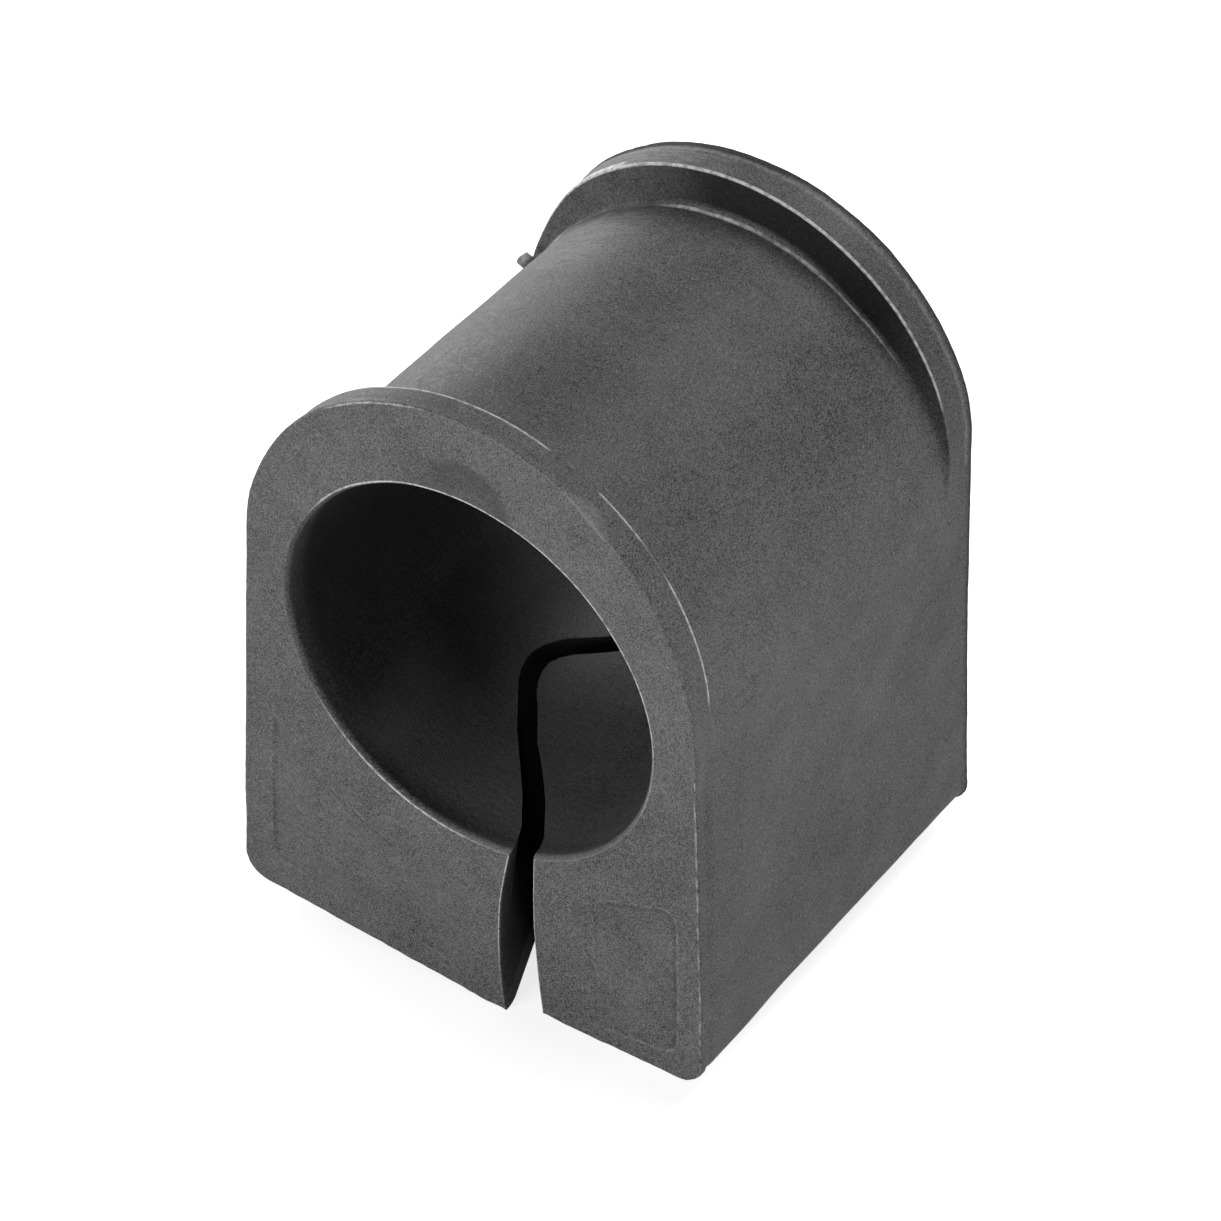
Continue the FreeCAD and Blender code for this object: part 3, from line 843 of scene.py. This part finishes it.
def rubber():
    """Matte moulded rubber: speckled grain, slow mottling, pale edges from wear and painted
    highlight, stain, bloom with painted sheen, painted shade and painted light.
    """
    material = bpy.data.materials.new("matte_rubber")
    g = Graph(material)
    shader = g.tree.nodes["Principled BSDF"]
    place = g.node("TexCoord").outputs["Object"]
    mask = {
        name: g.node("Attribute", attribute_name=name).outputs["Fac"]
        for name in ("wear", "dark", "painted_light", "stain", "bloom_and_sheen", "panel", "panel_edge_shading")
    }
    # noises by their scale in waves per metre
    grain, grit = g.noise(place, 6000, 2.0), g.noise(place, 1500, 2.0)
    mottle, cloud = g.noise(place, 220, 3.0), g.noise(place, 45, 2.0)
    flecks = g.spread(g.noise(place, 2600, 0.0), 0.73, 0.80)
    crumbs = g.spread(g.noise(place, 1300, 1.0), 0.5, 0.66)
    patches = g.spread(g.noise(place, 900, 1.0), 0.42, 0.62)
    drawn = g.node("Mapping")
    drawn.inputs["Scale"].default_value = (0.35, 2.5, 0.35)
    g.plug(place, drawn.inputs["Vector"])
    streaks = g.spread(g.noise(drawn.outputs[0], 1000, 3.0), 0.42, 0.6, 0.1, 1.0)

    # the panels' edges: a broken painted shadow inside, a broken painted highlight outside
    ragged = g.swing(grit, 0.5, mask["panel"])
    shadow = g.times(
        g.spread(ragged, 0.0, 0.2), g.spread(ragged, 0.35, 0.8, 1.0, 0.0),
        g.math("MULTIPLY_ADD", crumbs, 0.6, 0.3), mask["panel_edge_shading"],
    )
    # painted highlight along the panels' outer edges
    lip = g.times(
        g.spread(ragged, -0.35, -0.1), g.spread(ragged, -0.1, 0.1, 1.0, 0.0), patches, mask["panel_edge_shading"]
    )

    tone = 0.5
    for noise, amount in ((grain, 2.7), (grit, 0.7), (mottle, 0.4), (cloud, 0.55)):
        tone = g.swing(noise, amount, tone)
    colour = g.blend(tone, 0.018, 0.178)
    for share, strength, grey in (
        (flecks, 0.2, 0.34),
        (mask["stain"], 0.52, 0.015),
        # painted shadow and painted highlight along the panels' edges
        (shadow, 0.9, 0.03),
        (lip, 0.5, 0.3),
        # pale streaks, part bloom and part painted sheen, near the rear flange
        (g.times(mask["bloom_and_sheen"], streaks), 0.6, 0.34),
        # painted light: low in the bore, at its mouth's lower right, and over the front flange's
        # edge
        (mask["painted_light"], 0.6, 0.3),
        # painted shade: the bore's left and depth, the slit, the rear flange's inner wall and back
        # edge
        (mask["dark"], 0.9, 0.002),
    ):
        colour = g.blend(g.times(share, strength), colour, grey)
    # pale colour from painted highlights on edges and in the rear corner, and from real wear
    worn_and_lit = g.times(g.spread(mask["wear"], 0.1, 0.9), g.spread(grit, 0.36, 0.56, 0.45, 1.0))
    # more painted highlight where the mark passes 1: the corner's bright line and the shoulder's
    # streak
    bright = g.spread(mask["wear"], 1.0, 1.5, 0.0, 0.32)
    colour = g.blend(g.math("MULTIPLY_ADD", worn_and_lit, 0.65, bright), colour, 0.9)
    g.plug(colour, shader.inputs["Base Color"])

    rough = g.math("MULTIPLY_ADD", mask["dark"], 0.38, g.spread(grit, 0.3, 0.7, 0.5, 0.66))
    g.plug(g.math("SUBTRACT", rough, g.times(worn_and_lit, 0.08)), shader.inputs["Roughness"])
    shader.inputs["Specular IOR Level"].default_value = 0.5

    height = g.math("MULTIPLY_ADD", grit, 1.2, grain)
    height = g.math("MULTIPLY_ADD", mottle, 1.6, height)
    height = g.math("SUBTRACT", height, g.times(shadow, 1.5))
    relief = g.node("Bump")
    relief.inputs["Strength"].default_value = 0.6
    relief.inputs["Distance"].default_value = 0.06 * MM
    g.plug(height, relief.inputs["Height"])
    g.plug(relief.outputs["Normal"], shader.inputs["Normal"])
    return material


bush = link(build_bush(), "moulded_bush")
join_gate(bush)
bush.data.polygons.foreach_set("use_smooth", [True] * len(bush.data.polygons))
bush.data.set_sharp_from_angle(angle=SHARP_FROM)
bush.data.materials.append(rubber())
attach(bush, "root")
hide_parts("bushing")


def floor_paint():
    """Pale floor, lifted to white for the camera so that only the object's shadow shows."""
    material = bpy.data.materials.new("pale_floor")
    g = Graph(material)
    g.tree.nodes.clear()
    diffuse, glow, both = g.node("BsdfDiffuse"), g.node("Emission"), g.node("AddShader")
    g.plug((FLOOR_TONE, FLOOR_TONE, FLOOR_TONE, 1), diffuse.inputs["Color"])
    seen = g.node("LightPath").outputs["Is Camera Ray"]
    g.plug(g.times(seen, FLOOR_GLOW), glow.inputs["Strength"])
    g.plug(diffuse.outputs[0], both.inputs[0])
    g.plug(glow.outputs[0], both.inputs[1])
    g.plug(both.outputs[0], g.node("OutputMaterial").inputs["Surface"])
    return material


def build_stage():
    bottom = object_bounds()[0].z
    corners = [(-1, -1), (1, -1), (1, 1), (-1, 1)]
    mesh = bpy.data.meshes.new("studio_floor")
    mesh.from_pydata(
        [(FLOOR_REACH * x, FLOOR_REACH * y, bottom) for x, y in corners], [], [(0, 1, 2, 3)]
    )
    mesh.materials.append(floor_paint())
    floor = link(mesh, "studio_floor")


def build_world():
    """A white backdrop for the camera, and a faint light from all sides for the rest."""
    world = bpy.data.worlds.new("studio")
    bpy.context.scene.world = world
    g = Graph(world)
    g.tree.nodes.clear()
    mix = g.node("MixShader")
    g.plug(g.node("LightPath").outputs["Is Camera Ray"], mix.inputs["Fac"])
    for socket, strength in ((mix.inputs[1], AMBIENT), (mix.inputs[2], BACKDROP)):
        background = g.node("Background")
        background.inputs["Strength"].default_value = strength
        g.plug(background.outputs[0], socket)
    g.plug(mix.outputs[0], g.node("OutputWorld").inputs["Surface"])


def add_lamp(name, place, width, height, power):
    """A soft rectangular lamp that faces the bore's centre."""
    lamp = bpy.data.lights.new(name, "AREA")
    lamp.shape = "RECTANGLE"
    lamp.size, lamp.size_y = width, height
    lamp.energy = power
    holder = link(lamp, name)
    holder.location = place
    holder.rotation_mode = "QUATERNION"
    holder.rotation_quaternion = (-Vector(place)).to_track_quat("-Z", "Y")


def build_camera():
    camera = bpy.data.cameras.new("photo_camera")
    camera.sensor_width = SENSOR_MM
    camera.lens = FOCAL_PIXELS / PHOTO_PIXELS * SENSOR_MM
    camera.clip_start, camera.clip_end = CLIP
    azimuth, down, roll = (math.radians(a) for a in CAMERA_TURN)
    right = Vector((math.cos(azimuth), math.sin(azimuth), 0))
    ahead = Vector((
        -math.sin(azimuth) * math.cos(down),
        math.cos(azimuth) * math.cos(down),
        -math.sin(down),
    ))
    up = right.cross(ahead)
    across = right * math.cos(roll) + up * math.sin(roll)
    upward = up * math.cos(roll) - right * math.sin(roll)
    axes = Matrix((across, upward, -ahead)).transposed()
    holder = link(camera, "photo_camera")
    holder.matrix_world = Matrix.Translation(Vector(CAMERA_AT)) @ axes.to_4x4()
    bpy.context.scene.camera = holder


build_stage()
build_world()
for lamp_settings in LAMPS:
    add_lamp(*lamp_settings)
build_camera()
bpy.context.scene.view_settings.view_transform = "Standard"
